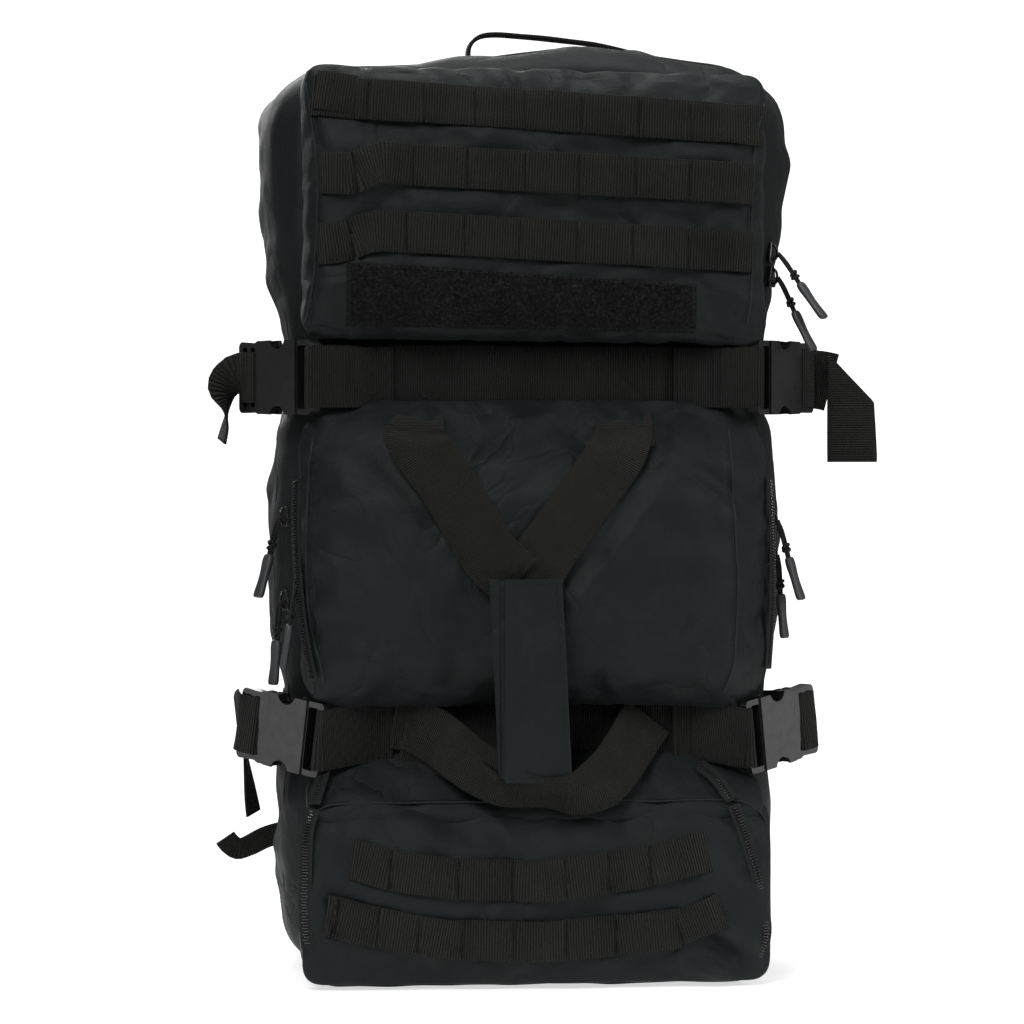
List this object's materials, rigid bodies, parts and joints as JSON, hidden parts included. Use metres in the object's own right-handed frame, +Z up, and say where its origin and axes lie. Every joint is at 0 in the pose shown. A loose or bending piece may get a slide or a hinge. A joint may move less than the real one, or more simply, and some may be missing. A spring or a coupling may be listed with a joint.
{
  "type": "trauma backpack",
  "caption": "Tall black nylon backpack with a padded fold-down lid, front pockets, load webbing, compression belts with side-release buckles and a wrapped carry handle.",
  "frame": {"origin": "on the floor, under the middle of the rear compartment's width, 35 mm behind its front edge", "axes": "+X to the right of someone facing the front, +Y towards the wearer's side, +Z up"},
  "size_m": [0.4443, 0.2611, 0.6195],
  "materials": {
    "nylon": "satin",
    "webbing": "matte",
    "padding": "matte",
    "loop_pile": "matte",
    "acetal": "satin",
    "zip": "satin",
    "sheet": "matte",
    "rubber": "matte"
  },
  "bodies": {
    "pack": {"rear_shell": "nylon", "front_lid_lower": "nylon", "frame_sheet": "sheet", "back_pad": "padding", "middle_pocket": "nylon", "lower_pocket_tray": "nylon", "main_zip": "zip", "upper_front_belt": "webbing", "lower_front_belt": "webbing", "upper_right_socket": "acetal", "upper_left_socket": "acetal", "lower_right_socket": "acetal", "lower_left_socket": "acetal"},
    "upper_lid": {"front_lid_upper": "nylon", "upper_pocket": "nylon", "upper_webbing_row_1": "webbing", "upper_webbing_row_2": "webbing", "upper_webbing_row_3": "webbing", "loop_patch": "loop_pile"},
    "lower_panel": {"lower_pocket_panel": "nylon", "lower_webbing_row_1": "webbing", "lower_webbing_row_2": "webbing"},
    "carry_handle": {"upper_handle": "webbing", "grip_sleeve": "nylon"},
    "grip_flap": {"grip_flap": "nylon"},
    "lower_handle": {"lower_handle": "webbing"},
    "haul_handle": {"haul_handle": "webbing"},
    "upper_right_buckle_plug": {"upper_right_plug": "acetal", "upper_right_side_strap": "webbing"},
    "upper_right_button_top": {"upper_right_arm_top": "acetal"},
    "upper_right_button_bottom": {"upper_right_arm_bottom": "acetal"},
    "upper_left_buckle_plug": {"upper_left_plug": "acetal", "upper_left_side_strap": "webbing"},
    "upper_left_button_top": {"upper_left_arm_top": "acetal"},
    "upper_left_button_bottom": {"upper_left_arm_bottom": "acetal"},
    "lower_right_buckle_plug": {"lower_right_plug": "acetal", "lower_right_side_strap": "webbing"},
    "lower_right_button_top": {"lower_right_arm_top": "acetal"},
    "lower_right_button_bottom": {"lower_right_arm_bottom": "acetal"},
    "lower_left_buckle_plug": {"lower_left_plug": "acetal", "lower_left_side_strap": "webbing"},
    "lower_left_button_top": {"lower_left_arm_top": "acetal"},
    "lower_left_button_bottom": {"lower_left_arm_bottom": "acetal"},
    "shoulder_strap_right": {"shoulder_pad_right": "padding"},
    "lower_strap_right": {"lower_strap_right": "webbing"},
    "shoulder_strap_left": {"shoulder_pad_left": "padding"},
    "lower_strap_left": {"lower_strap_left": "webbing"},
    "zip_slider_right_upper_a": {"zip_slider_right_upper_a": "zip"},
    "zip_pull_right_upper_a": {"zip_pull_right_upper_a": "rubber"},
    "zip_slider_right_upper_b": {"zip_slider_right_upper_b": "zip"},
    "zip_pull_right_upper_b": {"zip_pull_right_upper_b": "rubber"},
    "zip_slider_right_middle_a": {"zip_slider_right_middle_a": "zip"},
    "zip_pull_right_middle_a": {"zip_pull_right_middle_a": "rubber"},
    "zip_slider_right_middle_b": {"zip_slider_right_middle_b": "zip"},
    "zip_pull_right_middle_b": {"zip_pull_right_middle_b": "rubber"},
    "zip_slider_left_middle_a": {"zip_slider_left_middle_a": "zip"},
    "zip_pull_left_middle_a": {"zip_pull_left_middle_a": "rubber"},
    "zip_slider_left_middle_b": {"zip_slider_left_middle_b": "zip"},
    "zip_pull_left_middle_b": {"zip_pull_left_middle_b": "rubber"},
    "zip_pull_pocket": {"zip_pull_pocket": "rubber"}
  },
  "joints": [
    {"name": "upper_lid_fold", "type": "hinge", "parent": "pack", "child": "upper_lid", "pos_m": [0, -0.0965, 0.4215], "axis": [1, 0, 0], "range_deg": [0, 80]},
    {"name": "lower_panel_fold", "type": "hinge", "parent": "pack", "child": "lower_panel", "pos_m": [0, -0.0906, 0.004], "axis": [1, 0, 0], "range_deg": [0, 80]},
    {"name": "carry_handle_swing", "type": "hinge", "parent": "pack", "child": "carry_handle", "pos_m": [0, -0.055, 0.375], "axis": [-1, 0, 0], "range_deg": [0, 12]},
    {"name": "lower_handle_swing", "type": "hinge", "parent": "pack", "child": "lower_handle", "pos_m": [0, -0.0575, 0.166], "axis": [-1, 0, 0], "range_deg": [0, 6.5]},
    {"name": "grip_flap_open", "type": "hinge", "parent": "carry_handle", "child": "grip_flap", "pos_m": [-0.024, -0.1163, 0.2], "axis": [0, 0, -1], "range_deg": [0, 150]},
    {"name": "haul_handle_flop", "type": "hinge", "parent": "pack", "child": "haul_handle", "pos_m": [0.0135, 0.0986, 0.6025], "axis": [-1, 0, 0], "range_deg": [0, 70]},
    {"name": "upper_right_unclip", "type": "slide", "parent": "pack", "child": "upper_right_buckle_plug", "axis": [0.6428, 0.766, 0], "range_m": [0, 0.03]},
    {"name": "upper_right_press_top", "type": "hinge", "parent": "upper_right_buckle_plug", "child": "upper_right_button_top", "pos_m": [0.17244, -0.03423, 0.4132], "axis": [0.766, -0.6428, 0], "range_deg": [0, 6], "stiffness_Nm_per_rad": 0.03},
    {"name": "upper_right_press_bottom", "type": "hinge", "parent": "upper_right_buckle_plug", "child": "upper_right_button_bottom", "pos_m": [0.17244, -0.03423, 0.3788], "axis": [-0.766, 0.6428, 0], "range_deg": [0, 6], "stiffness_Nm_per_rad": 0.03},
    {"name": "upper_left_unclip", "type": "slide", "parent": "pack", "child": "upper_left_buckle_plug", "axis": [-0.6428, 0.766, 0], "range_m": [0, 0.03]},
    {"name": "upper_left_press_top", "type": "hinge", "parent": "upper_left_buckle_plug", "child": "upper_left_button_top", "pos_m": [-0.17244, -0.03423, 0.4132], "axis": [0.766, 0.6428, 0], "range_deg": [0, 6], "stiffness_Nm_per_rad": 0.03},
    {"name": "upper_left_press_bottom", "type": "hinge", "parent": "upper_left_buckle_plug", "child": "upper_left_button_bottom", "pos_m": [-0.17244, -0.03423, 0.3788], "axis": [-0.766, -0.6428, 0], "range_deg": [0, 6], "stiffness_Nm_per_rad": 0.03},
    {"name": "lower_right_unclip", "type": "slide", "parent": "pack", "child": "lower_right_buckle_plug", "axis": [0.7359, 0.6626, 0.1392], "range_m": [0, 0.03]},
    {"name": "lower_right_press_top", "type": "hinge", "parent": "lower_right_buckle_plug", "child": "lower_right_button_top", "pos_m": [0.16917, -0.04145, 0.18354], "axis": [0.6691, -0.7431, 0], "range_deg": [0, 6], "stiffness_Nm_per_rad": 0.03},
    {"name": "lower_right_press_bottom", "type": "hinge", "parent": "lower_right_buckle_plug", "child": "lower_right_button_bottom", "pos_m": [0.17273, -0.03824, 0.14947], "axis": [-0.6691, 0.7431, 0], "range_deg": [0, 6], "stiffness_Nm_per_rad": 0.03},
    {"name": "lower_left_unclip", "type": "slide", "parent": "pack", "child": "lower_left_buckle_plug", "axis": [-0.7359, 0.6626, 0.1392], "range_m": [0, 0.03]},
    {"name": "lower_left_press_top", "type": "hinge", "parent": "lower_left_buckle_plug", "child": "lower_left_button_top", "pos_m": [-0.16917, -0.04145, 0.18354], "axis": [0.6691, 0.7431, 0], "range_deg": [0, 6], "stiffness_Nm_per_rad": 0.03},
    {"name": "lower_left_press_bottom", "type": "hinge", "parent": "lower_left_buckle_plug", "child": "lower_left_button_bottom", "pos_m": [-0.17273, -0.03824, 0.14947], "axis": [-0.6691, -0.7431, 0], "range_deg": [0, 6], "stiffness_Nm_per_rad": 0.03},
    {"name": "shoulder_strap_right_swing", "type": "hinge", "parent": "pack", "child": "shoulder_strap_right", "pos_m": [0.062, 0.1203, 0.546], "axis": [1, 0, 0], "range_deg": [0, 15]},
    {"name": "lower_strap_right_swing", "type": "hinge", "parent": "pack", "child": "lower_strap_right", "pos_m": [0.15, 0.1056, 0.0665], "axis": [-1, 0, 0], "range_deg": [0, 24.5]},
    {"name": "shoulder_strap_left_swing", "type": "hinge", "parent": "pack", "child": "shoulder_strap_left", "pos_m": [-0.062, 0.1203, 0.546], "axis": [1, 0, 0], "range_deg": [0, 15]},
    {"name": "lower_strap_left_swing", "type": "hinge", "parent": "pack", "child": "lower_strap_left", "pos_m": [-0.15, 0.1056, 0.0665], "axis": [-1, 0, 0], "range_deg": [0, 24.5]},
    {"name": "zip_right_upper_a_slide", "type": "slide", "parent": "pack", "child": "zip_slider_right_upper_a", "axis": [0, 0, 1], "range_m": [0, 0.05]},
    {"name": "zip_right_upper_a_pull", "type": "hinge", "parent": "zip_slider_right_upper_a", "child": "zip_pull_right_upper_a", "pos_m": [0.16494, -0.03058, 0.479], "axis": [-0.6, -0.8, 0], "range_deg": [0, 60]},
    {"name": "zip_right_upper_b_slide", "type": "slide", "parent": "pack", "child": "zip_slider_right_upper_b", "axis": [0, 0, 1], "range_m": [-0.008, 0]},
    {"name": "zip_right_upper_b_pull", "type": "hinge", "parent": "zip_slider_right_upper_b", "child": "zip_pull_right_upper_b", "pos_m": [0.16494, -0.03058, 0.463], "axis": [-0.6, -0.8, 0], "range_deg": [0, 10]},
    {"name": "zip_right_middle_a_slide", "type": "slide", "parent": "pack", "child": "zip_slider_right_middle_a", "axis": [0, 0, 1], "range_m": [0, 0.05]},
    {"name": "zip_right_middle_a_pull", "type": "hinge", "parent": "zip_slider_right_middle_a", "child": "zip_pull_right_middle_a", "pos_m": [0.16494, -0.03058, 0.305], "axis": [-0.6, -0.8, 0], "range_deg": [0, 60]},
    {"name": "zip_right_middle_b_slide", "type": "slide", "parent": "pack", "child": "zip_slider_right_middle_b", "axis": [0, 0, 1], "range_m": [-0.02, 0]},
    {"name": "zip_right_middle_b_pull", "type": "hinge", "parent": "zip_slider_right_middle_b", "child": "zip_pull_right_middle_b", "pos_m": [0.16494, -0.03058, 0.283], "axis": [-0.6, -0.8, 0], "range_deg": [0, 10]},
    {"name": "zip_left_middle_a_slide", "type": "slide", "parent": "pack", "child": "zip_slider_left_middle_a", "axis": [0, 0, 1], "range_m": [0, 0.05]},
    {"name": "zip_left_middle_a_pull", "type": "hinge", "parent": "zip_slider_left_middle_a", "child": "zip_pull_left_middle_a", "pos_m": [-0.16494, -0.03058, 0.305], "axis": [-0.6, 0.8, 0], "range_deg": [0, 60]},
    {"name": "zip_left_middle_b_slide", "type": "slide", "parent": "pack", "child": "zip_slider_left_middle_b", "axis": [0, 0, 1], "range_m": [0, 0.015]},
    {"name": "zip_left_middle_b_pull", "type": "hinge", "parent": "zip_slider_left_middle_b", "child": "zip_pull_left_middle_b", "pos_m": [-0.16494, -0.03058, 0.25], "axis": [-0.6, 0.8, 0], "range_deg": [0, 60]},
    {"name": "zip_pocket_slide", "type": "slide", "parent": "pack", "child": "zip_pull_pocket", "axis": [0, 0, 1], "range_m": [0, 0.06]}
  ],
  "couplings": [
    {"joint": "lower_handle_swing", "follows": "carry_handle_swing", "ratio": 0.5},
    {"joint": "lower_strap_right_swing", "follows": "shoulder_strap_right_swing", "ratio": 1.6},
    {"joint": "lower_strap_left_swing", "follows": "shoulder_strap_left_swing", "ratio": 1.6}
  ]
}
